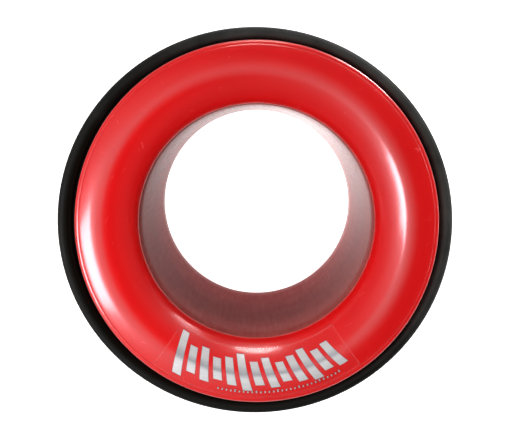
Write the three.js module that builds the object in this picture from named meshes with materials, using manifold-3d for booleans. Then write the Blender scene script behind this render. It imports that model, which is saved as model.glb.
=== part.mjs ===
// Sound-port insert for the front head of a bass drum.
// It stands on its rear rim: +Z runs along the port axis, out of the flared front, and the
// origin is on the axis in the plane of the rear rim. The label is on the -Y side. Millimetres.

import * as THREE from 'three';
import { mergeVertices } from 'three/addons/utils/BufferGeometryUtils.js';
import Module from 'manifold-3d';

const manifold = await Module();
manifold.setup();

// Driving dimensions
const overallDepth = 124; // rear rim to the crest of the flare
const throatRadius = 59; // inside of the port where the flare ends
const rearRadius = 55.8; // inside of the port at the rear rim
const rimRadius = 90; // widest line of the flare
const ringRadius = 96; // outside of the damping ring
const headHoleRadius = 66.7; // the hole cut in the drum head, 133.4 mm across
const headPlane = 98; // height of the front face of the drum head
const wall = 2.5; // moulded wall of the flare and the tube
const gap = 0.3; // clearance between pieces that touch

// The front of the flare is three arcs that meet in a tangent: throat, crest and rim.
// A tilt of -90 degrees faces the axis, 0 faces forward and +90 faces outward.
const crestRadius = 78.6; // where the flare stands highest
const crestArc = 14.8;
const blendTilt = THREE.MathUtils.degToRad(35); // where the crest arc ends on both sides
const throatTilt = THREE.MathUtils.degToRad(55); // slope of the flare at its inner edge

const landDepth = 1; // straight edge below the throat
const socketDepth = 8; // sleeve that takes the front end of the tube
const skirtDepth = 6; // straight skirt below the widest line of the flare
const lip = { rise: 1.6, depth: 4, runOut: 2.4, chamfer: 1.2, flare: 0.8 }; // rear edge of the tube
const ringGroove = { width: 4, depth: 8, draft: 0.4, radii: [79.5, 87] };
const ringCorner = 2.4; // rounded corner where the damping ring meets the head
const beadRadius = 2.2; // rounded outer edge of the damping ring
const beadDrop = 1; // how far the middle of that edge lies behind the rim of the flare
const flangeRadius = 74; // front flange of the collar
const flangeThickness = 2;
const flangeChamfer = 0.8;
const headGroove = { width: 2.4, clearance: 0.5 }; // takes the edge of the head
const barb = { radius: 72, depth: 34, edge: 2.6, chamfer: 0.8, slope: 1.4, count: 16, slotWidth: 7 };
const sleeveWall = 2.2; // wall of the collar between its barbs
const cutPast = 1; // how far a cutter runs past what it cuts

// The label lies on the flare, centred on the -Y side, between two tilts of its surface.
const labelSweep = THREE.MathUtils.degToRad(74);
const labelTilts = [-49, 23].map(THREE.MathUtils.degToRad);
const filmThickness = 0.2;
const foilThickness = 0.2;
const barHeights = [1, 0.6, 0.76, 0.5, 0.64, 0.86, 0.56, 0.72, 0.48, 0.66, 0.82, 0.56, 0.68];
const barPitch = THREE.MathUtils.degToRad(4.7);
const barWidth = THREE.MathUtils.degToRad(3.1);
const barLean = THREE.MathUtils.degToRad(2.4); // from a bar's middle to the end of the tallest
const barMiddle = THREE.MathUtils.degToRad(-15);
const barReach = THREE.MathUtils.degToRad(32);
const lineTilts = [15, 18].map(THREE.MathUtils.degToRad);
const lineSweep = THREE.MathUtils.degToRad(44);
const linePlace = THREE.MathUtils.degToRad(-8);

const turns = 60; // flats round each turned piece
const flatAngle = (2 * Math.PI) / turns;
const tiltStep = THREE.MathUtils.degToRad(12.5);

const insert = new THREE.Group();

function addPiece(name, geometry, look) {
  const material = new THREE.MeshStandardMaterial(look);
  const mesh = new THREE.Mesh(geometry, material);
  mesh.name = name;
  insert.add(mesh);
}

// Turns a closed outline of [radius, height] points about the Z axis.
function turned(outline) {
  const closed = [...outline, outline[0]].map(([radius, height]) => new THREE.Vector2(radius, height));
  return new THREE.LatheGeometry(closed, turns).rotateX(Math.PI / 2);
}

// Points on an arc about a centre, from one tilt to another.
function arc(centre, radius, from, to) {
  const steps = Math.max(1, Math.round(Math.abs(to - from) / tiltStep));
  return Array.from({ length: steps + 1 }, (_, i) => {
    const tilt = from + ((to - from) * i) / steps;
    return [centre[0] + radius * Math.sin(tilt), centre[1] + radius * Math.cos(tilt)];
  });
}

// The three arcs of the flare's front, each with its centre, radius and range of tilt.
const blendSine = Math.sin(blendTilt);
const blendCosine = Math.cos(blendTilt);
const crestCentre = [crestRadius, overallDepth - crestArc];
const throatArc = (crestRadius - crestArc * blendSine - throatRadius) / (Math.sin(throatTilt) - blendSine);
const rimArc = (rimRadius - crestRadius - crestArc * blendSine) / (1 - blendSine);
const alongBlend = (side, step) => [
  crestCentre[0] + side * step * blendSine,
  crestCentre[1] + step * blendCosine,
];
const flareArcs = [
  { centre: alongBlend(-1, crestArc - throatArc), radius: throatArc, from: -throatTilt, to: -blendTilt },
  { centre: crestCentre, radius: crestArc, from: -blendTilt, to: blendTilt },
  { centre: alongBlend(1, crestArc - rimArc), radius: rimArc, from: blendTilt, to: Math.PI / 2 },
];
const rimHeight = flareArcs[2].centre[1];

// The flare's front surface, raised by an offset: from the throat over the crest to the rim.
function flareLine(offset) {
  return flareArcs.flatMap(({ centre, radius, from, to }, i) => {
    const points = arc(centre, radius + offset, from, to);
    return i === 0 ? points : points.slice(1);
  });
}

// One point of that surface by its tilt.
function flarePoint(tilt, offset) {
  const { centre, radius } = flareArcs.find((a) => tilt <= a.to) ?? flareArcs[2];
  return [
    centre[0] + (radius + offset) * Math.sin(tilt),
    centre[1] + (radius + offset) * Math.cos(tilt),
  ];
}

// The same surface from a given radius on its throat arc outward. Points closer than `spacing`
// to the first are left out.
function flareLineFrom(start, offset) {
  const spacing = 0.5;
  const { centre, radius } = flareArcs[0];
  const height = centre[1] + Math.sqrt((radius + offset) ** 2 - (centre[0] - start) ** 2);
  const beyond = flareLine(offset).filter(([r]) => r > start + spacing);
  return [[start, height], ...beyond];
}

// Flare: a shell with a rolled rim, a short skirt, and behind the throat a socket for the tube.
const throatHeight = flareLine(0)[0][1];
const socketRadius = throatRadius + wall + gap;
const socketOutside = socketRadius + wall;
const landFoot = throatHeight - landDepth;
const socketFoot = landFoot - socketDepth;
const skirtFoot = rimHeight - skirtDepth;
addPiece('bell_flare', turned([
  ...flareLine(0).reverse(),
  [throatRadius, landFoot],
  [socketRadius, landFoot],
  [socketRadius, socketFoot],
  [socketOutside, socketFoot],
  ...flareLineFrom(socketOutside, -wall),
  [rimRadius - wall, skirtFoot],
  [rimRadius, skirtFoot],
]), { color: '#df2226', roughness: 0.15 });

// Port tube: a straight spigot in the socket, then a slight taper to a thickened rear lip.
const lipRadius = rearRadius + wall + lip.rise;
const lipFoot = lip.depth + lip.runOut; // where the lip has run out into the wall
const tubeFront = landFoot - gap;
addPiece('port_tube', turned([
  [throatRadius, tubeFront],
  [rearRadius, lip.flare],
  [rearRadius + lip.flare, 0],
  [lipRadius - lip.chamfer, 0],
  [lipRadius, lip.chamfer],
  [lipRadius, lip.depth],
  [rearRadius + wall, lipFoot],
  [throatRadius + wall, socketFoot],
  [throatRadius + wall, tubeFront],
]), { color: '#c8262a', roughness: 0.45 });

// Outside of the tube at a height behind the socket.
function tubeOutside(height) {
  const share = (height - lipFoot) / (socketFoot - lipFoot);
  return rearRadius + wall + share * (throatRadius - rearRadius);
}

// Damping ring: fills the hollow behind the flare, bears on the head, and its bead stands
// a little outside the rim. Its inner part steps forward to clear the collar's flange.
const ringBore = socketOutside + gap;
const beadCentre = [ringRadius - beadRadius, rimHeight - beadDrop];
const cornerCentre = [ringRadius - ringCorner, headPlane + ringCorner];
const stepHeight = headPlane + flangeThickness + gap;
const ringSeat = ringGroove.radii.flatMap((radius) => {
  const [near, far] = [radius - ringGroove.width / 2, radius + ringGroove.width / 2];
  const top = headPlane + ringGroove.depth;
  return [
    [near, headPlane],
    [near + ringGroove.draft, top],
    [far - ringGroove.draft, top],
    [far, headPlane],
  ];
});
addPiece('damping_ring', turned([
  [ringBore, stepHeight],
  [flangeRadius + gap, stepHeight],
  [flangeRadius + gap, headPlane],
  ...ringSeat,
  ...arc(cornerCentre, ringCorner, Math.PI, Math.PI / 2),
  ...arc(beadCentre, beadRadius, Math.PI / 2, -Math.PI / 2),
  [ringRadius - 2 * beadRadius, skirtFoot - gap],
  [rimRadius - wall - gap, skirtFoot - gap],
  ...flareLineFrom(ringBore, -wall - gap).reverse(),
]), { color: '#1c1b1a', roughness: 0.75 });

// Head collar: a sleeve round the tube with a front flange, a groove that takes the edge of
// the head, and a ring of tapered barbs that fold inward as it is pushed through the hole.
const grooveFloor = headHoleRadius - headGroove.clearance;
const barbHeight = headPlane - headGroove.width;
const collarFoot = barbHeight - barb.depth;
const collarTop = stepHeight - gap;
const collarBore = tubeOutside(collarTop) + gap;
const collarFootBore = tubeOutside(collarFoot) + gap;
const collarBlank = turned([
  [collarBore, collarTop],
  [collarFootBore, collarFoot],
  [collarFootBore + sleeveWall, collarFoot],
  [barb.radius - barb.chamfer, barbHeight - barb.edge - barb.slope],
  [barb.radius, barbHeight - barb.edge],
  [barb.radius, barbHeight],
  [grooveFloor, barbHeight],
  [grooveFloor, headPlane],
  [flangeRadius - flangeChamfer, headPlane],
  [flangeRadius, headPlane + flangeChamfer],
  [flangeRadius, collarTop],
]);

function toSolid(geometry) {
  const bare = geometry.clone();
  bare.deleteAttribute('normal');
  bare.deleteAttribute('uv');
  const merged = mergeVertices(bare, 1e-4);
  return new manifold.Manifold(new manifold.Mesh({
    numProp: 3,
    vertProperties: new Float32Array(merged.attributes.position.array),
    triVerts: new Uint32Array(merged.index.array),
  }));
}

function toGeometry(solid) {
  const mesh = solid.getMesh();
  const geometry = new THREE.BufferGeometry();
  geometry.setAttribute('position', new THREE.BufferAttribute(mesh.vertProperties, 3));
  geometry.setIndex(new THREE.BufferAttribute(mesh.triVerts, 1));
  return geometry;
}

let collar = toSolid(collarBlank);
const slotFoot = collarFoot - cutPast;
const slotTop = barbHeight + cutPast;
const slotFloor = collarBore + sleeveWall;
const slotEnd = barb.radius + cutPast;
for (let i = 0; i < barb.count; i += 1) {
  const slot = new THREE.BoxGeometry(slotEnd - slotFloor, barb.slotWidth, slotTop - slotFoot);
  slot.translate((slotEnd + slotFloor) / 2, 0, (slotTop + slotFoot) / 2);
  slot.rotateZ((2 * Math.PI * (i + 0.5)) / barb.count);
  collar = collar.subtract(toSolid(slot));
}
addPiece('head_collar', toGeometry(collar), { color: '#1a1a19', roughness: 0.7 });

// Bends a flat plate onto the flare. The plate's x becomes an angle about the axis, clockwise
// from the -Y side, its y a tilt of the flare's surface, and its z a height above that surface.
function ontoFlare(plate) {
  const position = plate.attributes.position;
  for (let i = 0; i < position.count; i += 1) {
    const [radius, height] = flarePoint(position.getY(i), position.getZ(i));
    const angle = -Math.PI / 2 - position.getX(i);
    position.setXYZ(i, radius * Math.cos(angle), radius * Math.sin(angle), height);
  }
  return plate;
}

// Label: a clear film with a row of silver bars, like a picture of a sound, lying on it.
function labelPlate(sweep, tilts, lift, thickness, across, along) {
  const plate = new THREE.BoxGeometry(sweep, tilts[1] - tilts[0], thickness, across, along, 1);
  return plate.translate(0, (tilts[0] + tilts[1]) / 2, lift + thickness / 2);
}

const filmAcross = Math.round(labelSweep / flatAngle) * 2;
const filmAlong = Math.round((labelTilts[1] - labelTilts[0]) / tiltStep) * 2;
const film = labelPlate(labelSweep, labelTilts, gap, filmThickness, filmAcross, filmAlong);
addPiece('label_film', ontoFlare(film), { color: '#e6d8d8', roughness: 0.1, transparent: true, opacity: 0.2 });

// Foil on the film: bars that lean a little from left to right, over one thin line.
const foilLook = { color: '#c9ccd2', roughness: 0.3, metalness: 0.9 };
const foilLift = gap + filmThickness + gap;
barHeights.forEach((share, i) => {
  const tilts = [barMiddle - share * barReach, barMiddle + share * barReach];
  const bar = labelPlate(barWidth, tilts, foilLift, foilThickness, 2, 6);
  const position = bar.attributes.position;
  const place = ((barHeights.length - 1) / 2 - i) * barPitch;
  for (let j = 0; j < position.count; j += 1) {
    const lean = barLean * ((position.getY(j) - barMiddle) / barReach);
    position.setX(j, position.getX(j) + place + lean);
  }
  const name = `foil_bar_${String(i + 1).padStart(2, '0')}`;
  addPiece(name, ontoFlare(bar), foilLook);
});

const line = labelPlate(lineSweep, lineTilts, foilLift, foilThickness, 16, 1);
addPiece('foil_line', ontoFlare(line.translate(linePlace, 0, 0)), foilLook);

export default insert;
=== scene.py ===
import math
import bmesh
import bpy
from mathutils import Matrix, Vector


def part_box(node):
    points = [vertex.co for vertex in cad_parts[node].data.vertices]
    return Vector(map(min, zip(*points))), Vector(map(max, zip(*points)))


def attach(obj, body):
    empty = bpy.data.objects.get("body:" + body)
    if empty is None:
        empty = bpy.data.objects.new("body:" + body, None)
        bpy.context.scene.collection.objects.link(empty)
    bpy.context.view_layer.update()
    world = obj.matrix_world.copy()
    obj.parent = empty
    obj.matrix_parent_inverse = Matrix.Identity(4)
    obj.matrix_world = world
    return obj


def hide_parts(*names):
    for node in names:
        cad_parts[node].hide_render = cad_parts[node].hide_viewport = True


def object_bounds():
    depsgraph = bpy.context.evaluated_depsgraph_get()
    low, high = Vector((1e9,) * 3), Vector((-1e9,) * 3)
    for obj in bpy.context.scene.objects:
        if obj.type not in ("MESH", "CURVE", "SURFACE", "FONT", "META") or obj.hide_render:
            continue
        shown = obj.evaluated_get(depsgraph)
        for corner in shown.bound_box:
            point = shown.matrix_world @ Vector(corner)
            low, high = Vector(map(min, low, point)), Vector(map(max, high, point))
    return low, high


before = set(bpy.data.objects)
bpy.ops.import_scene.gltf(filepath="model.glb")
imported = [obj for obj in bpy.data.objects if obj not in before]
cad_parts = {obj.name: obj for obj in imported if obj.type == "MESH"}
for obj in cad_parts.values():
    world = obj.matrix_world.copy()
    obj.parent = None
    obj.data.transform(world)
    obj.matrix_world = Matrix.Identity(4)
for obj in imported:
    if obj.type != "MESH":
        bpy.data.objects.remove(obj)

# Sound-port insert for a bass drum head, standing on the rear rim of its tube.
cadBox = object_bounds()
scene = bpy.context.scene
scene.view_settings.view_transform = "Standard"

mm = 0.001
straightUp = (0, 0, 1)
outlineNormal = (0, 1, 0)  # outlines lie in the XZ plane, radius along X
unmoved = (0, 0, 0)
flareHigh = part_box("bell_flare")[1]
ringLow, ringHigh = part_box("damping_ring")
collarLow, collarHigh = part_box("head_collar")
snug = 0.05 * mm  # seam between pieces that touch
weld = 0.002 * mm  # corners closer than this become one
creased = math.radians(40)  # edges bent more than this are shaded as a crease


# An outline is drawn with a pen, corner by corner, and then spun round the port axis.
def penDown(bm, radius, height):
    return bm.verts.new((radius, 0, height))


def lineTo(bm, pen, radius, height):
    tip = bmesh.ops.extrude_vert_indiv(bm, verts=[pen])["verts"][0]
    tip.co = (radius, 0, height)
    return tip


def arcTo(bm, pen, centre, turn, steps):
    # a positive turn goes from up towards outward, in radians
    made = bmesh.ops.spin(bm, geom=[pen], cent=(centre[0], 0, centre[1]), axis=outlineNormal,
                          dvec=unmoved, angle=turn, steps=steps, use_merge=False)
    return [part for part in made["geom_last"] if isinstance(part, bmesh.types.BMVert)][0]


def roundTurn(bm, steps):
    bmesh.ops.spin(bm, geom=bm.verts[:] + bm.edges[:], cent=unmoved, axis=straightUp,
                   dvec=unmoved, angle=2 * math.pi, steps=steps, use_merge=True)
    bmesh.ops.remove_doubles(bm, verts=bm.verts[:], dist=weld)
    bmesh.ops.recalc_face_normals(bm, faces=bm.faces[:])


def softenEdges(bm, edges, width, segments=3, sharper=math.radians(35)):
    sharp = [edge for edge in edges if len(edge.link_faces) == 2 and edge.calc_face_angle() > sharper]
    bmesh.ops.bevel(bm, geom=sharp, offset=width, offset_type="OFFSET", affect="EDGES",
                    segments=segments, profile=0.5, material=-1, clamp_overlap=True)


def makePiece(bm, name, material, nodes):
    mesh = bpy.data.meshes.new(name)
    bm.to_mesh(mesh)
    bm.free()
    mesh.shade_smooth()
    mesh.set_sharp_from_angle(angle=creased)
    mesh.materials.append(material)
    piece = bpy.data.objects.new(name, mesh)
    scene.collection.objects.link(piece)
    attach(piece, "root")
    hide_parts(*nodes)


def srgb(code):
    parts = [int(code[i:i + 2], 16) / 255 for i in (1, 3, 5)]
    linear = [part / 12.92 if part <= 0.04045 else ((part + 0.055) / 1.055) ** 2.4 for part in parts]
    return (*linear, 1)


def newMaterial(name, shading):
    material = bpy.data.materials.new(name)
    material.use_nodes = True
    shader = material.node_tree.nodes["Principled BSDF"]
    for socket, value in shading.items():
        shader.inputs[socket].default_value = value
    return material, shader


def addNode(owner, kind, settings=None, values=None, links=None):
    node = owner.node_tree.nodes.new(kind)
    for name, value in (settings or {}).items():
        setattr(node, name, value)
    for name, value in (values or {}).items():
        node.inputs[name].default_value = value
    for name, source in (links or {}).items():
        owner.node_tree.links.new(source, node.inputs[name])
    return node


def glossyAbs():
    # injection-moulded ABS from a polished tool: deep red under a clear gloss with a little haze,
    # slow ripples from the moulding, fine rub marks and a few short scratches from handling
    look = {"colour": "#e2060a", "deep": "#d60306", "scratched": "#f04a4c", "mottle": 26 * mm,
            "ripple": 11 * mm, "rippleDepth": 0.002 * mm, "scratchCell": 17 * mm, "scratchWidth": 0.012,
            "scratchBend": 0.012, "patchesPerCell": 2.6, "patchSpan": (0.66, 0.72), "rub": 1.3 * mm,
            "roughness": (0.32, 0.42)}
    material, shader = newMaterial("ABS, polished moulding", {
        "IOR": 1.52, "Specular IOR Level": 0.3, "Coat Weight": 1.0, "Coat Roughness": 0.16, "Coat IOR": 1.5})
    place = addNode(material, "ShaderNodeTexCoord").outputs["Object"]
    mottle = addNode(material, "ShaderNodeTexNoise", values={"Scale": 1 / look["mottle"], "Detail": 3},
                     links={"Vector": place})
    colour = addNode(material, "ShaderNodeMix", {"data_type": "RGBA"},
                     {6: srgb(look["deep"]), 7: srgb(look["colour"])}, {0: mottle.outputs["Fac"]})
    # a scratch shows where a bent cell wall and a sparse patch meet
    bend = addNode(material, "ShaderNodeTexNoise", values={"Scale": 1 / look["ripple"], "Detail": 2},
                   links={"Vector": place})
    bent = addNode(material, "ShaderNodeMix", {"data_type": "VECTOR"}, {0: look["scratchBend"]},
                   {4: place, 5: bend.outputs["Color"]})
    walls = addNode(material, "ShaderNodeTexVoronoi", {"feature": "DISTANCE_TO_EDGE"},
                    {"Scale": 1 / look["scratchCell"]}, {"Vector": bent.outputs[1]})
    onWall = addNode(material, "ShaderNodeMapRange",
                     values={"From Min": look["scratchWidth"], "From Max": 0, "To Min": 0, "To Max": 1},
                     links={"Value": walls.outputs["Distance"]})
    patch = addNode(material, "ShaderNodeTexNoise", values={
        "Scale": look["patchesPerCell"] / look["scratchCell"], "Detail": 1}, links={"Vector": place})
    inPatch = addNode(material, "ShaderNodeMapRange", values={
        "From Min": look["patchSpan"][0], "From Max": look["patchSpan"][1]},
        links={"Value": patch.outputs["Fac"]})
    scratch = addNode(material, "ShaderNodeMath", {"operation": "MULTIPLY"},
                      links={0: onWall.outputs["Result"], 1: inPatch.outputs["Result"]})
    marked = addNode(material, "ShaderNodeMix", {"data_type": "RGBA"}, {7: srgb(look["scratched"])},
                     {0: scratch.outputs["Value"], 6: colour.outputs[2]})
    rub = addNode(material, "ShaderNodeTexNoise", values={"Scale": 1 / look["rub"], "Detail": 4},
                  links={"Vector": place})
    roughness = addNode(material, "ShaderNodeMapRange", values={
        "To Min": look["roughness"][0], "To Max": look["roughness"][1]}, links={"Value": rub.outputs["Fac"]})
    bump = addNode(material, "ShaderNodeBump", values={"Strength": 1, "Distance": look["rippleDepth"]},
                   links={"Height": bend.outputs["Fac"]})
    links = material.node_tree.links
    links.new(marked.outputs[2], shader.inputs["Base Color"])
    links.new(roughness.outputs["Result"], shader.inputs["Roughness"])
    links.new(bump.outputs["Normal"], shader.inputs["Normal"])
    links.new(bump.outputs["Normal"], shader.inputs["Coat Normal"])
    return material


def satinAbs():
    # ABS tube without a polish: drag lines along the bore break up its gloss, so that it mirrors only
    # at a grazing angle, which a low IOR stands for; dust lies in blotches, and the bore is painted lighter
    # towards the mouth: painted light where light falls in, painted shade deeper inside
    look = {"colour": "#80100e", "dustAndLitTone": "#a8524c", "streak": 1.6 * mm, "stretch": 0.07,
            "blotch": 11 * mm, "patches": (0.14, 0.42), "patchDust": 0.3, "lineDepth": 0.004 * mm,
            # the two heights and the share below set the painted light towards the mouth, not dust
            "mouthLightFrom": 50 * mm, "mouthLightTo": 112 * mm, "mouthPaintedLight": 0.7, "roughness": (0.12, 0.24)}
    material, shader = newMaterial("ABS, satin tube", {"IOR": 1.027})
    place = addNode(material, "ShaderNodeTexCoord").outputs["Object"]
    along = addNode(material, "ShaderNodeMapping", values={"Scale": (1, 1, look["stretch"])},
                    links={"Vector": place})
    streak = addNode(material, "ShaderNodeTexNoise", values={"Scale": 1 / look["streak"], "Detail": 3},
                     links={"Vector": along.outputs["Vector"]})
    blotch = addNode(material, "ShaderNodeTexNoise", values={"Scale": 1 / look["blotch"], "Detail": 4},
                     links={"Vector": place})
    dust = addNode(material, "ShaderNodeMath", {"operation": "MULTIPLY"},
                   links={0: streak.outputs["Fac"], 1: blotch.outputs["Fac"]})
    patches = addNode(material, "ShaderNodeMapRange", values={
        "From Min": look["patches"][0], "From Max": look["patches"][1], "To Max": look["patchDust"]},
        links={"Value": dust.outputs["Value"]})
    height = addNode(material, "ShaderNodeSeparateXYZ", links={"Vector": place}).outputs["Z"]
    # painted light: the bore grows lighter towards the mouth, where light falls in, and stays darker deeper
    # inside as painted shade
    paintedMouthLight = addNode(material, "ShaderNodeMapRange", {"interpolation_type": "SMOOTHSTEP"}, {
        "From Min": look["mouthLightFrom"], "From Max": look["mouthLightTo"], "To Max": look["mouthPaintedLight"]},
        {"Value": height})
    # real dust patches plus the painted light at the mouth
    dustAndMouthLight = addNode(material, "ShaderNodeMath", {"operation": "ADD"},
                     links={0: patches.outputs["Result"], 1: paintedMouthLight.outputs["Result"]})
    colour = addNode(material, "ShaderNodeMix", {"data_type": "RGBA"},
                     {6: srgb(look["colour"]), 7: srgb(look["dustAndLitTone"])}, {0: dustAndMouthLight.outputs["Value"]})
    roughness = addNode(material, "ShaderNodeMapRange", values={
        "To Min": look["roughness"][0], "To Max": look["roughness"][1]},
        links={"Value": dustAndMouthLight.outputs["Value"]})
    bump = addNode(material, "ShaderNodeBump", values={"Strength": 1, "Distance": look["lineDepth"]},
                   links={"Height": streak.outputs["Fac"]})
    links = material.node_tree.links
    links.new(colour.outputs[2], shader.inputs["Base Color"])
    links.new(roughness.outputs["Result"], shader.inputs["Roughness"])
    links.new(bump.outputs["Normal"], shader.inputs["Normal"])
    return material


def blackTpe(name, look):
    # thermoplastic rubber: matte black, a fine moulded grain, and dust that greys it in patches, with
    # one side painted lighter as painted light, where low lamps on that side light it; the real grain is
    # near 0.1 mm and is drawn coarser so that it shows
    finish = {"dustAndLitSpan": (0.38, 1.4), "roughness": (0.55, 0.7), "grainStrength": 0.6}
    material, shader = newMaterial(name, {"IOR": 1.5, "Specular IOR Level": 0.14})
    place = addNode(material, "ShaderNodeTexCoord").outputs["Object"]
    grain = addNode(material, "ShaderNodeTexNoise", values={"Scale": 1 / look["grain"], "Detail": 2},
                    links={"Vector": place})
    patch = addNode(material, "ShaderNodeTexNoise", values={"Scale": 1 / look["patch"], "Detail": 4},
                    links={"Vector": place})
    # painted light: the colour grows lighter towards one side, where the low lamps light it
    side = addNode(material, "ShaderNodeVectorMath", {"operation": "DOT_PRODUCT"},
                   {1: look["paintedLitSide"]}, {0: place})
    dustAndPaintedLight = addNode(material, "ShaderNodeMath", {"operation": "ADD"},
                    links={0: patch.outputs["Fac"], 1: side.outputs["Value"]})
    # real dust patches and the painted one-sided light, mixed into one share
    dust = addNode(material, "ShaderNodeMapRange", {"interpolation_type": "SMOOTHSTEP"}, {
        "From Min": finish["dustAndLitSpan"][0], "From Max": finish["dustAndLitSpan"][1]},
        {"Value": dustAndPaintedLight.outputs["Value"]})
    colour = addNode(material, "ShaderNodeMix", {"data_type": "RGBA"},
                     {6: srgb(look["colour"]), 7: srgb(look["dustAndLitTone"])}, {0: dust.outputs["Result"]})
    roughness = addNode(material, "ShaderNodeMapRange", values={
        "To Min": finish["roughness"][0], "To Max": finish["roughness"][1]},
        links={"Value": patch.outputs["Fac"]})
    bump = addNode(material, "ShaderNodeBump", values={
        "Strength": finish["grainStrength"], "Distance": look["grainDepth"]},
        links={"Height": grain.outputs["Fac"]})
    links = material.node_tree.links
    links.new(colour.outputs[2], shader.inputs["Base Color"])
    links.new(roughness.outputs["Result"], shader.inputs["Roughness"])
    links.new(bump.outputs["Normal"], shader.inputs["Normal"])
    return material


def edgeDistance(material, size):
    # distance in metres from the nearest edge of a flat strip, from its UV map, and the map's two axes
    uv = addNode(material, "ShaderNodeUVMap", {"uv_map": "labelUv"}).outputs["UV"]
    axes = addNode(material, "ShaderNodeSeparateXYZ", links={"Vector": uv})
    sides = []
    for axis, length in zip(("X", "Y"), size):
        other = addNode(material, "ShaderNodeMath", {"operation": "SUBTRACT"}, {0: 1},
                        {1: axes.outputs[axis]})
        near = addNode(material, "ShaderNodeMath", {"operation": "MINIMUM"},
                       links={0: axes.outputs[axis], 1: other.outputs["Value"]})
        sides.append(addNode(material, "ShaderNodeMath", {"operation": "MULTIPLY"}, {1: length},
                             {0: near.outputs["Value"]}))
    nearest = addNode(material, "ShaderNodeMath", {"operation": "MINIMUM"},
                      links={0: sides[0].outputs["Value"], 1: sides[1].outputs["Value"]})
    return nearest.outputs["Value"], axes


def clearFilm(size):
    # polyester film: clear and glossy, seen mostly by its cut edge and a little trapped dust
    look = {"colour": "#ff9a9a", "edge": 0.25 * mm, "edgeAlpha": 0.3, "alpha": 0.012,
            "speck": 1.2 * mm, "speckSpan": (0.7, 0.8), "speckAlpha": 0.1}
    material, shader = newMaterial("polyester film", {
        "Base Color": srgb(look["colour"]), "Roughness": 0.12, "IOR": 1.6})
    distance = edgeDistance(material, size)[0]
    edge = addNode(material, "ShaderNodeMapRange", values={
        "From Min": 0, "From Max": look["edge"], "To Min": look["edgeAlpha"], "To Max": look["alpha"]},
        links={"Value": distance})
    place = addNode(material, "ShaderNodeTexCoord").outputs["Object"]
    speck = addNode(material, "ShaderNodeTexNoise", values={"Scale": 1 / look["speck"], "Detail": 2},
                    links={"Vector": place})
    dust = addNode(material, "ShaderNodeMapRange", values={
        "From Min": look["speckSpan"][0], "From Max": look["speckSpan"][1], "To Max": look["speckAlpha"]},
        links={"Value": speck.outputs["Fac"]})
    alpha = addNode(material, "ShaderNodeMath", {"operation": "ADD"},
                    links={0: edge.outputs["Result"], 1: dust.outputs["Result"]})
    material.node_tree.links.new(alpha.outputs["Value"], shader.inputs["Alpha"])
    return material


def silverFoil(name, size):
    # hot-stamped aluminium foil: brushed across, painted light at both ends with a darker band between, a
    # painted reflection of the room on the bent foil, and a thin dark line round its cut edge
    look = {"light": "#dededf", "dimReflection": "#a9a9af", "cutEdgeDark": "#8d2a30", "border": 0.22 * mm,
            "brush": 0.35 * mm, "stretch": 0.1, "strokeSpan": (0.3, 0.7), "strokeShade": 0.86,
            "roughness": (0.3, 0.45),
            "bands": ((0.3, "light"), (0.52, "dimReflection"), (0.66, "light"))}
    material, shader = newMaterial(name, {"Metallic": 0.35})
    distance, axes = edgeDistance(material, size)
    # painted reflection: light, dark and light again along each bar, as the bent foil would mirror the room
    band = addNode(material, "ShaderNodeValToRGB", links={"Fac": axes.outputs["Y"]})
    stops = band.color_ramp.elements
    stops[0].color = srgb(look["light"])
    stops[1].color = srgb(look["light"])
    for spot, tone in look["bands"]:
        stops.new(spot).color = srgb(look[tone])
    place = addNode(material, "ShaderNodeTexCoord").outputs["Object"]
    across = addNode(material, "ShaderNodeMapping", values={"Scale": (look["stretch"], 1, 1)},
                     links={"Vector": place})
    brush = addNode(material, "ShaderNodeTexNoise", values={"Scale": 1 / look["brush"], "Detail": 3},
                    links={"Vector": across.outputs["Vector"]})
    strokes = addNode(material, "ShaderNodeMapRange", values={
        "From Min": look["strokeSpan"][0], "From Max": look["strokeSpan"][1], "To Min": look["strokeShade"]},
        links={"Value": brush.outputs["Fac"]})
    brushed = addNode(material, "ShaderNodeMix", {"data_type": "RGBA", "blend_type": "MULTIPLY"}, {0: 1.0},
                      {6: band.outputs["Color"], 7: strokes.outputs["Result"]})
    # a thin dark line round the cut edge
    edge = addNode(material, "ShaderNodeMapRange", values={
        "From Min": look["border"] / 2, "From Max": look["border"]}, links={"Value": distance})
    colour = addNode(material, "ShaderNodeMix", {"data_type": "RGBA"}, {6: srgb(look["cutEdgeDark"])},
                     {0: edge.outputs["Result"], 7: brushed.outputs[2]})
    roughness = addNode(material, "ShaderNodeMapRange", values={
        "To Min": look["roughness"][0], "To Max": look["roughness"][1]},
        links={"Value": brush.outputs["Fac"]})
    material.node_tree.links.new(colour.outputs[2], shader.inputs["Base Color"])
    material.node_tree.links.new(roughness.outputs["Result"], shader.inputs["Roughness"])
    return material


def whitePaper():
    # seamless background paper, lit from below so that it carries no shadow, brightest over the lamp
    look = {"colour": "#f4f4f4", "fibre": 3 * mm, "glow": (2.2, 1.1), "lamp": (62 * mm, 25 * mm, 0),
            "glowSpan": (25 * mm, 85 * mm)}
    material, shader = newMaterial("white paper", {
        "Roughness": 0.9, "Emission Color": (1, 1, 1, 1)})
    place = addNode(material, "ShaderNodeTexCoord").outputs["Object"]
    away = addNode(material, "ShaderNodeVectorMath", {"operation": "DISTANCE"}, {1: look["lamp"]},
                   {0: place})
    glow = addNode(material, "ShaderNodeMapRange", {"interpolation_type": "SMOOTHSTEP"}, {
        "From Min": look["glowSpan"][0], "From Max": look["glowSpan"][1],
        "To Min": look["glow"][0], "To Max": look["glow"][1]}, {"Value": away.outputs["Value"]})
    fibre = addNode(material, "ShaderNodeTexNoise", values={"Scale": 1 / look["fibre"], "Detail": 3},
                    links={"Vector": place})
    colour = addNode(material, "ShaderNodeMix", {"data_type": "RGBA"},
                     {6: srgb("#ffffff"), 7: srgb(look["colour"])}, {0: fibre.outputs["Fac"]})
    material.node_tree.links.new(colour.outputs[2], shader.inputs["Base Color"])
    material.node_tree.links.new(glow.outputs["Result"], shader.inputs["Emission Strength"])
    return material


print("materials ready")

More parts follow.
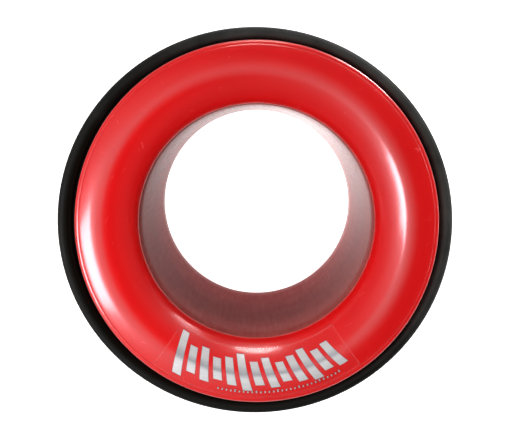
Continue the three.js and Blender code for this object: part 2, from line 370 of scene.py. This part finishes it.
# The front of the flare is a row of arcs that meet in a tangent. A tilt of -90 degrees faces
# the port axis, 0 faces forward and 90 faces outward. The rim is a small roll outside a fine groove.
flare = {
    "crestHeight": flareHigh.z,
    "throatRadius": 59 * mm,
    "edgeArc": 14 * mm,
    # of the edge, slope, crest, shoulder, crease, roll and rim
    "tilts": [math.radians(angle) for angle in (-67, -48, -32, 8, 24.4, 10, 45)],
    "crestRadius": 77.6 * mm,
    "crestArc": 11.8 * mm,
    "shoulderArc": 28 * mm,
    "grooveFloor": (0.22 * mm, 0.18 * mm),  # outward and down from the shoulder's end
    "rollStep": (0.35 * mm, 0.1 * mm),  # to where the rolled rim sets in
    "rollArc": 3.2 * mm,
    "skirtRadius": flareHigh.x - 0.85 * mm,
    "skirt": 14.3 * mm,
    "wall": 2.5 * mm,
    "land": 0.2 * mm,
    "socket": 8 * mm,
    "turnIn": 1 * mm,  # how far below the rim's centre the hollow side starts
    "backMargins": (0.5 * mm, 0.2 * mm),  # kept clear at the socket and at the skirt
    "steps": (20, 16, 24, 14),  # of the four arcs of the front
    "rimSteps": (10, 6),
    "softened": 0.12 * mm,
    "turns": 240,
}


def alongArc(start, radius, fromTilt, toTilt):
    return (start[0] + radius * (math.sin(toTilt) - math.sin(fromTilt)),
            start[1] + radius * (math.cos(toTilt) - math.cos(fromTilt)))


def arcCentre(start, radius, tilt):
    return (start[0] - radius * math.sin(tilt), start[1] - radius * math.cos(tilt))


# the slope's arc takes up what is left between the throat's edge and the crest
edgeTilt, slopeTilt, crestTilt, shoulderTilt, creaseTilt, rollTilt, rimTilt = flare["tilts"]
edgeStart = (flare["throatRadius"], 0)
slopeStart = alongArc(edgeStart, flare["edgeArc"], edgeTilt, slopeTilt)
crestTop = (flare["crestRadius"], flare["crestHeight"])
slopeEnd = alongArc(crestTop, flare["crestArc"], 0, crestTilt)
slopeArc = (slopeEnd[0] - slopeStart[0]) / (math.sin(crestTilt) - math.sin(slopeTilt))
slopeStart = alongArc(slopeEnd, slopeArc, crestTilt, slopeTilt)
edgeStart = alongArc(slopeStart, flare["edgeArc"], slopeTilt, edgeTilt)
shoulderStart = alongArc(crestTop, flare["crestArc"], 0, shoulderTilt)
shoulderEnd = alongArc(shoulderStart, flare["shoulderArc"], shoulderTilt, creaseTilt)
rollStart = (shoulderEnd[0] + flare["rollStep"][0], shoulderEnd[1] - flare["rollStep"][1])
rimStart = alongArc(rollStart, flare["rollArc"], rollTilt, rimTilt)
rimArc = (flare["skirtRadius"] - rimStart[0]) / (1 - math.sin(rimTilt))
# start, radius, first tilt, last tilt and steps, from the throat outward
edgeSteps, slopeSteps, crestSteps, shoulderSteps = flare["steps"]
flareArcs = [
    (edgeStart, flare["edgeArc"], edgeTilt, slopeTilt, edgeSteps),
    (slopeStart, slopeArc, slopeTilt, crestTilt, slopeSteps),
    (slopeEnd, flare["crestArc"], crestTilt, shoulderTilt, crestSteps),
    (shoulderStart, flare["shoulderArc"], shoulderTilt, creaseTilt, shoulderSteps),
]
rimCentre = arcCentre(rimStart, rimArc, rimTilt)
landFoot = edgeStart[1] - flare["land"]
socketInside = flare["throatRadius"] + flare["wall"] + snug
socketOutside = socketInside + flare["wall"]
socketFoot = landFoot - flare["socket"]
skirtFoot = flare["crestHeight"] - flare["skirt"]


def onFlare(radius, angle, lift):
    # a point over the flare's front at a radius, an angle and a height above the surface
    for start, arc, fromTilt, toTilt, _ in flareArcs:
        centre = arcCentre(start, arc, fromTilt)
        tilt = math.asin(min(max((radius - centre[0]) / arc, -1), 1))
        if tilt <= toTilt:
            break
    reach = centre[0] + (arc + lift) * math.sin(tilt)
    height = centre[1] + (arc + lift) * math.cos(tilt)
    return Vector((reach * math.cos(angle), reach * math.sin(angle), height))


def drawBack(bm, pen, lift, startRadius):
    # the hollow side of the flare, from its skirt in to a given radius
    inside = flare["skirtRadius"] - flare["wall"] - lift
    depth = flare["wall"] + lift
    atSocket, atSkirt = flare["backMargins"]
    pen = lineTo(bm, pen, inside, rimCentre[1] - flare["turnIn"])
    for start, arc, fromTilt, toTilt, steps in reversed(flareArcs[1:]):
        centre = arcCentre(start, arc, fromTilt)
        halfSteps = steps // 2  # the hidden side needs fewer
        for step in range(halfSteps + 1):
            tilt = toTilt + (fromTilt - toTilt) * step / halfSteps
            radius = centre[0] + (arc - depth) * math.sin(tilt)
            if startRadius + atSocket < radius < inside - atSkirt:
                pen = lineTo(bm, pen, radius, centre[1] + (arc - depth) * math.cos(tilt))
    centre = arcCentre(slopeStart, slopeArc, slopeTilt)
    drop = math.sqrt((slopeArc - depth) ** 2 - (centre[0] - startRadius) ** 2)
    return lineTo(bm, pen, startRadius, centre[1] + drop)


def makeFlare():
    bm = bmesh.new()
    start = pen = penDown(bm, *edgeStart)
    for begin, arc, fromTilt, toTilt, steps in flareArcs:
        pen = arcTo(bm, pen, arcCentre(begin, arc, fromTilt), toTilt - fromTilt, steps)
    outward, down = flare["grooveFloor"]
    rollSteps, rimSteps = flare["rimSteps"]
    pen = lineTo(bm, pen, shoulderEnd[0] + outward, shoulderEnd[1] - down)
    pen = lineTo(bm, pen, *rollStart)
    pen = arcTo(bm, pen, arcCentre(rollStart, flare["rollArc"], rollTilt), rimTilt - rollTilt, rollSteps)
    pen = arcTo(bm, pen, rimCentre, math.pi / 2 - rimTilt, rimSteps)
    pen = lineTo(bm, pen, flare["skirtRadius"], skirtFoot)
    pen = lineTo(bm, pen, flare["skirtRadius"] - flare["wall"], skirtFoot)
    pen = drawBack(bm, pen, 0, socketOutside)
    pen = lineTo(bm, pen, socketOutside, socketFoot)
    pen = lineTo(bm, pen, socketInside, socketFoot)
    pen = lineTo(bm, pen, socketInside, landFoot)
    pen = lineTo(bm, pen, flare["throatRadius"], landFoot)
    bm.edges.new((pen, start))
    roundTurn(bm, flare["turns"])
    softenEdges(bm, bm.edges, flare["softened"])
    makePiece(bm, "flareMoulding", glossyAbs(), ["bell_flare"])


makeFlare()
print("flare made")

tube = {
    "front": landFoot - snug,
    "frontRadius": 59 * mm,
    "mouthEdge": flare["throatRadius"],  # the bore starts with a short lead-in
    "mouthEnd": 58.5 * mm,
    "mouthLength": 1.4 * mm,
    "rearRadius": 55.8 * mm,
    "lipRise": 1.6 * mm,
    "lipDepth": 4 * mm,
    "runOut": 2.4 * mm,
    "rearMouth": 0.8 * mm,
    "chamfer": 1.2 * mm,
    "bands": 10,  # short rings of the bore, which keep its smooth shading even
    "softened": 0.3 * mm,
    "turns": 240,
}


def makeTube():
    outside = tube["frontRadius"] + flare["wall"]
    rearOutside = tube["rearRadius"] + flare["wall"]
    lipRadius = rearOutside + tube["lipRise"]
    bm = bmesh.new()
    start = pen = penDown(bm, tube["mouthEdge"], tube["front"])
    throat = tube["front"] - tube["mouthLength"]
    pen = lineTo(bm, pen, tube["mouthEnd"], throat)
    for band in range(1, tube["bands"] + 1):
        share = band / tube["bands"]
        pen = lineTo(bm, pen, tube["mouthEnd"] + share * (tube["rearRadius"] - tube["mouthEnd"]),
                     throat + share * (tube["rearMouth"] - throat))
    pen = lineTo(bm, pen, tube["rearRadius"] + tube["rearMouth"], 0)
    pen = lineTo(bm, pen, lipRadius - tube["chamfer"], 0)
    pen = lineTo(bm, pen, lipRadius, tube["chamfer"])
    pen = lineTo(bm, pen, lipRadius, tube["lipDepth"])
    pen = lineTo(bm, pen, rearOutside, tube["lipDepth"] + tube["runOut"])
    pen = lineTo(bm, pen, outside, socketFoot)
    pen = lineTo(bm, pen, outside, tube["front"])
    bm.edges.new((pen, start))
    roundTurn(bm, tube["turns"])
    softenEdges(bm, bm.edges, tube["softened"])
    makePiece(bm, "portTube", satinAbs(), ["port_tube"])


makeTube()
print("tube made")

ring = {
    "seat": ringLow.z,
    "outside": ringHigh.x,
    "bead": 2.9 * mm,
    "beadHeight": flare["crestHeight"] - 10 * mm,
    "corner": 2.4 * mm,
    "inset": 74.3 * mm,
    "step": 2.3 * mm,
    "grooves": (79.5 * mm, 87 * mm),
    "grooveDepth": 8 * mm,
    "grooveHalf": (2 * mm, 1.6 * mm),
    "stretch": (97.8 / 96, 96.1 / 96),  # the soft ring sits a little oval and off to one side
    "shift": (-0.9 * mm, -0.35 * mm),
    "stretchFrom": 0.2 * mm,  # outside the skirt, where the ring starts to follow them
    "stretchSpan": 1.2 * mm,
    "cornerSteps": 8,
    "beadSteps": 20,
    "softened": 0.25 * mm,
    "turns": 240,
    "colour": "#080a06", "dustAndLitTone": "#40413e", "grain": 0.5 * mm, "grainDepth": 0.04 * mm, "patch": 22 * mm,
    "paintedLitSide": (4.6, 4.0, 0),  # per metre: painted light, lighter on the side where the low lamps fall
}


def makeRing():
    bore = socketOutside + snug
    wide, narrow = ring["grooveHalf"]
    bm = bmesh.new()
    start = pen = penDown(bm, bore, ring["seat"] + ring["step"])
    pen = lineTo(bm, pen, ring["inset"], ring["seat"] + ring["step"])
    pen = lineTo(bm, pen, ring["inset"], ring["seat"])
    for middle in ring["grooves"]:
        pen = lineTo(bm, pen, middle - wide, ring["seat"])
        pen = lineTo(bm, pen, middle - narrow, ring["seat"] + ring["grooveDepth"])
        pen = lineTo(bm, pen, middle + narrow, ring["seat"] + ring["grooveDepth"])
        pen = lineTo(bm, pen, middle + wide, ring["seat"])
    cornerRadius = ring["outside"] - ring["corner"]
    pen = lineTo(bm, pen, cornerRadius, ring["seat"])
    pen = arcTo(bm, pen, (cornerRadius, ring["seat"] + ring["corner"]), -math.pi / 2,
                ring["cornerSteps"])
    pen = lineTo(bm, pen, ring["outside"], ring["beadHeight"])
    pen = arcTo(bm, pen, (ring["outside"] - ring["bead"], ring["beadHeight"]), -math.pi, ring["beadSteps"])
    pen = lineTo(bm, pen, ring["outside"] - 2 * ring["bead"], skirtFoot - snug)
    pen = lineTo(bm, pen, flare["skirtRadius"] - flare["wall"] - snug, skirtFoot - snug)
    pen = drawBack(bm, pen, snug, bore)
    bm.edges.new((pen, start))
    roundTurn(bm, ring["turns"])
    softenEdges(bm, bm.edges, ring["softened"])
    for vert in bm.verts:
        past = math.hypot(vert.co.x, vert.co.y) - flare["skirtRadius"] - ring["stretchFrom"]
        share = min(max(past / ring["stretchSpan"], 0), 1)
        vert.co.x *= 1 + share * (ring["stretch"][0] - 1)
        vert.co.y *= 1 + share * (ring["stretch"][1] - 1)
        vert.co.x += share * ring["shift"][0]
        vert.co.y += share * ring["shift"][1]
    makePiece(bm, "dampingRing", blackTpe("TPE, moulded ring", ring), ["damping_ring"])


makeRing()
print("damping ring made")

collar = {
    "top": collarHigh.z,
    "foot": collarLow.z,
    "head": ringLow.z,
    "flange": 74 * mm,
    "groove": 2.4 * mm,
    "grooveFloor": 66.2 * mm,
    "sleeve": 2.2 * mm,
    "barbRadius": 72 * mm,
    "barbEdge": 2.6 * mm,
    "barbSlope": 1.4 * mm,
    "chamfer": 0.8 * mm,
    "barbs": 16,
    "slot": 7 * mm,
    "topGap": 0.3 * mm,  # more room round the tube at the top, where it slides on
    "rootDepth": 0.4 * mm,  # how far a barb reaches into the sleeve
    "barbFoot": (0.2 * mm, 0.3 * mm),  # out from the sleeve and up from its foot
    "barbSteps": 8,
    "barbSoftened": 0.3 * mm,
    "barbSharpEdge": math.radians(50),
    "softened": 0.25 * mm,
    "turns": 192,
    "colour": "#121212", "dustAndLitTone": "#2a2928", "grain": 0.6 * mm, "grainDepth": 0.05 * mm, "patch": 16 * mm,
    # per metre: painted light, lighter on one side
    "paintedLitSide": (4, 4, 0),
}


def tubeOutside(height):
    foot = tube["lipDepth"] + tube["runOut"]
    share = (height - foot) / (socketFoot - foot)
    return tube["rearRadius"] + flare["wall"] + share * (tube["frontRadius"] - tube["rearRadius"])


def makeCollar():
    barbTop = collar["head"] - collar["groove"]
    boreTop = tubeOutside(collar["top"]) + collar["topGap"]
    boreFoot = tubeOutside(collar["foot"]) + snug
    outside = boreFoot + collar["sleeve"]
    bm = bmesh.new()
    start = pen = penDown(bm, boreTop, collar["top"])
    pen = lineTo(bm, pen, boreFoot, collar["foot"])
    pen = lineTo(bm, pen, outside, collar["foot"])
    pen = lineTo(bm, pen, outside, barbTop - collar["groove"])
    pen = lineTo(bm, pen, collar["grooveFloor"], barbTop)
    pen = lineTo(bm, pen, collar["grooveFloor"], collar["head"])
    pen = lineTo(bm, pen, collar["flange"] - collar["chamfer"], collar["head"])
    pen = lineTo(bm, pen, collar["flange"], collar["head"] + collar["chamfer"])
    pen = lineTo(bm, pen, collar["flange"], collar["top"])
    bm.edges.new((pen, start))
    roundTurn(bm, collar["turns"])
    softenEdges(bm, bm.edges, collar["softened"])
    # one barb after another, each rooted a little way into the sleeve
    pitch = 2 * math.pi / collar["barbs"]
    wide = pitch - collar["slot"] / collar["barbRadius"]
    root = outside - collar["rootDepth"]
    footRadius = outside + collar["barbFoot"][0]
    footHeight = collar["foot"] + collar["barbFoot"][1]
    for number in range(collar["barbs"]):
        older = set(bm.verts)
        start = pen = penDown(bm, root, footHeight)
        pen = lineTo(bm, pen, footRadius, footHeight)
        pen = lineTo(bm, pen, collar["barbRadius"] - collar["chamfer"],
                     barbTop - collar["barbEdge"] - collar["barbSlope"])
        pen = lineTo(bm, pen, collar["barbRadius"], barbTop - collar["barbEdge"])
        pen = lineTo(bm, pen, collar["barbRadius"], barbTop)
        pen = lineTo(bm, pen, root, barbTop)
        bm.edges.new((pen, start))
        outline = [vert for vert in bm.verts if vert not in older]
        edges = [edge for edge in bm.edges if edge.verts[0] not in older]
        side = bmesh.ops.contextual_create(bm, geom=edges)["faces"]
        bmesh.ops.rotate(bm, verts=outline, cent=unmoved,
                         matrix=Matrix.Rotation(number * pitch - wide / 2, 3, "Z"))
        bmesh.ops.spin(bm, geom=side + edges + outline, cent=unmoved, axis=straightUp, dvec=unmoved,
                       angle=wide, steps=collar["barbSteps"], use_merge=False)
        made = [vert for vert in bm.verts if vert not in older]
        bmesh.ops.recalc_face_normals(bm, faces=list({face for vert in made for face in vert.link_faces}))
        softenEdges(bm, {edge for vert in made for edge in vert.link_edges}, collar["barbSoftened"],
                    segments=2, sharper=collar["barbSharpEdge"])
    makePiece(bm, "headCollar", blackTpe("TPE, moulded collar", collar), ["head_collar"])


makeCollar()
print("collar made")

# The label lies on the flare on the -Y side: a film, a row of bars and a row of fine ticks.
# Angles on it run clockwise as seen from the front.
label = {
    "middle": -math.pi / 2,
    "sweep": math.radians(73),
    "radii": (63.2 * mm, 86.2 * mm),
    "filmLift": 0.03 * mm,
    "filmThick": 0.04 * mm,
    "foilLift": 0.08 * mm,
    "foilThick": 0.05 * mm,
    "barHeads": (64.2 * mm, 84.2 * mm),  # radii between which the tallest bar lies
    "barHeights": [1, 0.6, 0.76, 0.5, 0.64, 0.86, 0.56, 0.72, 0.48, 0.66, 0.82, 0.56, 0.68],
    "barPitch": math.radians(5.1),
    "barWidth": math.radians(3.5),
    "barLean": math.radians(2.4),
    "barMeanHeight": 0.7,  # the foil's painted reflection band and border are drawn for a bar of this share
    "tickRadii": (82.4 * mm, 84.0 * mm),
    "tickSweep": math.radians(44),
    "tickPlace": math.radians(-8),
    "ticks": 30,
    "tallEvery": 5,
    "shortCut": 0.3,  # share by which the other ticks are shorter
    "tickFill": 0.45,  # width of a tick as a share of its pitch
    "cells": {"film": (96, 32), "bar": (6, 24), "tick": (1, 3)},
}


def layPlate(bm, place, sweep, radii, lean, lift, thickness, cells):
    # a flat plate with its own UV map is bent on to the flare; its height becomes its lift
    older = set(bm.verts)
    bmesh.ops.create_grid(bm, x_segments=cells[0], y_segments=cells[1], size=0.5)
    sheet = list({face for vert in bm.verts if vert not in older for face in vert.link_faces})
    bmesh.ops.solidify(bm, geom=sheet, thickness=1)
    plate = [vert for vert in bm.verts if vert not in older]
    lowest = min(vert.co.z for vert in plate)
    uv = bm.loops.layers.uv.get("labelUv") or bm.loops.layers.uv.new("labelUv")
    for face in {face for vert in plate for face in vert.link_faces}:
        for loop in face.loops:
            loop[uv].uv = (loop.vert.co.x + 0.5, loop.vert.co.y + 0.5)
    for vert in plate:
        aside, along = vert.co.x, vert.co.y + 0.5
        angle = label["middle"] - place + aside * sweep + lean * (2 * along - 1)
        height = lift + (vert.co.z - lowest) * thickness
        vert.co = onFlare(radii[0] + along * (radii[1] - radii[0]), angle, height)


def makeFilm():
    bm = bmesh.new()
    layPlate(bm, 0, label["sweep"], label["radii"], 0, label["filmLift"], label["filmThick"],
             label["cells"]["film"])
    bmesh.ops.recalc_face_normals(bm, faces=bm.faces[:])
    middle = (label["radii"][0] + label["radii"][1]) / 2
    size = (label["sweep"] * middle, label["radii"][1] - label["radii"][0])
    makePiece(bm, "labelFilm", clearFilm(size), ["label_film"])


def makeBars():
    low, high = label["barHeads"]
    middle = (low + high) / 2
    count = len(label["barHeights"])
    size = (label["barWidth"] * middle, (high - low) * label["barMeanHeight"])
    foil = silverFoil("aluminium foil, brushed", size)
    for number, share in enumerate(label["barHeights"]):
        bm = bmesh.new()
        reach = share * (high - low) / 2
        place = ((count - 1) / 2 - number) * label["barPitch"]
        layPlate(bm, place, label["barWidth"], (middle - reach, middle + reach), label["barLean"] * share,
                 label["foilLift"], label["foilThick"], label["cells"]["bar"])
        bmesh.ops.recalc_face_normals(bm, faces=bm.faces[:])
        makePiece(bm, f"foilBar{number + 1:02d}", foil, [f"foil_bar_{number + 1:02d}"])


def makeTicks():
    low, high = label["tickRadii"]
    pitch = label["tickSweep"] / label["ticks"]
    width = pitch * label["tickFill"]
    bm = bmesh.new()
    for number in range(label["ticks"]):
        tall = number % label["tallEvery"] == 0
        foot = low if tall else low + (high - low) * label["shortCut"]
        place = label["tickPlace"] + (number - (label["ticks"] - 1) / 2) * pitch
        layPlate(bm, place, width, (foot, high), 0, label["foilLift"], label["foilThick"],
                 label["cells"]["tick"])
    bmesh.ops.recalc_face_normals(bm, faces=bm.faces[:])
    size = (width * high, high - low)
    makePiece(bm, "foilTicks", silverFoil("aluminium foil, fine ticks", size), ["foil_line"])


makeFilm()
makeBars()
makeTicks()
print("label made")

studio = {
    "floorSize": 6.0,
    "floorGap": 0.2 * mm,
    "aim": Vector((0, 0, flare["crestHeight"])),
    "dim": 0.06,  # brightness of the room away from the window
    "glow": 0.52,  # of the wall round the window
    "glowMiddle": (201, 43),
    "glowSpan": (math.cos(math.radians(66)), math.cos(math.radians(12))),
    "glowFoot": (0.3, 0.5),  # heights between which the glow sets in, on a sphere of radius one
    "horizon": 0.12,  # of a band low down all round
    "horizonSpan": (0.08, 0.2, 0.4, 0.55),  # as heights on a sphere of radius one
    # each light: shape, azimuth and tilt from straight up in degrees, distance, width and height in
    # metres, brightness of its face, colour, whether it shows in reflections, and whether it shades
    "lights": {
        "window": ("RECTANGLE", 201, 47, 0.95, (0.39, 0.36), 22, "#fff2fb", True, False),
        "windowSpill": ("ELLIPSE", 203, 27, 0.30, (0.25, 0.25), 4.9, "#fffafa", False, True),
        "sideFill": ("RECTANGLE", 0, 88, 0.95, (0.6, 0.09), 27, "#ffffff", False, True),
        "farLamp": ("ELLIPSE", 90, 73, 1.00, (0.38, 0.10), 23, "#ffffff", True, True),
        "cornerLamp": ("ELLIPSE", 53, 80, 1.00, (0.30, 0.06), 4, "#ffffff", True, True),
        "roomFill": ("ELLIPSE", 60, 10, 1.20, (0.6, 0.6), 1.9, "#ffffff", False, True),
        "shelfLamp": ("ELLIPSE", 51, 89.2, 1.00, (0.42, 0.16), 45, "#ffffff", True, False),
        "tableEdge": ("RECTANGLE", 90, 75, 1.00, (4.5, 0.015), 3.0, "#ffffff", True, False),
    },
}


def areaLight(name, shape, azimuth, tilt, distance, size, brightness, colour, inReflections, inShading):
    data = bpy.data.lights.new(name, "AREA")
    data.shape = shape
    data.size, data.size_y = size
    data.color = srgb(colour)[:3]
    face = size[0] * size[1] * (math.pi / 4 if shape == "ELLIPSE" else 1)
    data.energy = brightness * math.pi * face
    light = bpy.data.objects.new(name, data)
    turn, lean = math.radians(azimuth), math.radians(tilt)
    away = Vector((math.sin(lean) * math.cos(turn), math.sin(lean) * math.sin(turn), math.cos(lean)))
    light.location = studio["aim"] + away * distance
    light.rotation_euler = away.to_track_quat("Z", "Y").to_euler()
    light.visible_camera = False
    light.visible_glossy = inReflections
    light.visible_diffuse = inShading
    scene.collection.objects.link(light)


for lightName, facts in studio["lights"].items():
    areaLight(lightName, *facts)

paper = bmesh.new()
bmesh.ops.create_grid(paper, x_segments=1, y_segments=1, size=studio["floorSize"] / 2)
paperMesh = bpy.data.meshes.new("floor")
paper.to_mesh(paperMesh)
paper.free()
paperMesh.materials.append(whitePaper())
floor = bpy.data.objects.new("floor", paperMesh)
floor.location.z = cadBox[0].z - studio["floorGap"]
scene.collection.objects.link(floor)

# the room is dim, with a soft glow on the window's side and a faint band low down all round
world = bpy.data.worlds.new("studio")
world.use_nodes = True
lookWay = addNode(world, "ShaderNodeTexCoord").outputs["Generated"]
windowAzimuth, windowTilt = (math.radians(angle) for angle in studio["glowMiddle"])
windowWay = (math.sin(windowTilt) * math.cos(windowAzimuth), math.sin(windowTilt) * math.sin(windowAzimuth),
             math.cos(windowTilt))
facing = addNode(world, "ShaderNodeVectorMath", {"operation": "DOT_PRODUCT"}, {1: windowWay}, {0: lookWay})
glow = addNode(world, "ShaderNodeMapRange", {"interpolation_type": "SMOOTHSTEP"}, {
    "From Min": studio["glowSpan"][0], "From Max": studio["glowSpan"][1], "To Max": studio["glow"]},
    {"Value": facing.outputs["Value"]})
height = addNode(world, "ShaderNodeSeparateXYZ", links={"Vector": lookWay}).outputs["Z"]
aboveFoot = addNode(world, "ShaderNodeMapRange", {"interpolation_type": "SMOOTHSTEP"}, {
    "From Min": studio["glowFoot"][0], "From Max": studio["glowFoot"][1]}, {"Value": height})
room = addNode(world, "ShaderNodeMath", {"operation": "MULTIPLY_ADD"}, {2: studio["dim"]}, {
    0: glow.outputs["Result"], 1: aboveFoot.outputs["Result"]})
bandFoot, bandLow, bandHigh, bandTop = studio["horizonSpan"]
rise = addNode(world, "ShaderNodeMapRange", {"interpolation_type": "SMOOTHSTEP"}, {
    "From Min": bandFoot, "From Max": bandLow}, {"Value": height})
fall = addNode(world, "ShaderNodeMapRange", {"interpolation_type": "SMOOTHSTEP"}, {
    "From Min": bandTop, "From Max": bandHigh, "To Max": studio["horizon"]}, {"Value": height})
brightness = addNode(world, "ShaderNodeMath", {"operation": "MULTIPLY_ADD"}, links={
    0: rise.outputs["Result"], 1: fall.outputs["Result"], 2: room.outputs["Value"]})
background = world.node_tree.nodes["Background"]
background.inputs["Color"].default_value = (1, 1, 1, 1)
world.node_tree.links.new(brightness.outputs["Value"], background.inputs["Strength"])
scene.world = world

viewpoint = {"distance": 0.487, "tilt": math.radians(6.23), "lens": 69.65,
             "aim": Vector((-0.85 * mm, 1.9 * mm, flare["crestHeight"] - 8.27 * mm))}
cameraData = bpy.data.cameras.new("camera")
cameraData.lens = viewpoint["lens"]
cameraData.sensor_width = 36
cameraData.clip_start = 0.01
camera = bpy.data.objects.new("camera", cameraData)
lookBack = Vector((0, math.sin(viewpoint["tilt"]), math.cos(viewpoint["tilt"])))
camera.location = viewpoint["aim"] + lookBack * viewpoint["distance"]
camera.rotation_euler = (-viewpoint["tilt"], 0, 0)
scene.collection.objects.link(camera)
scene.camera = camera
print("studio ready")
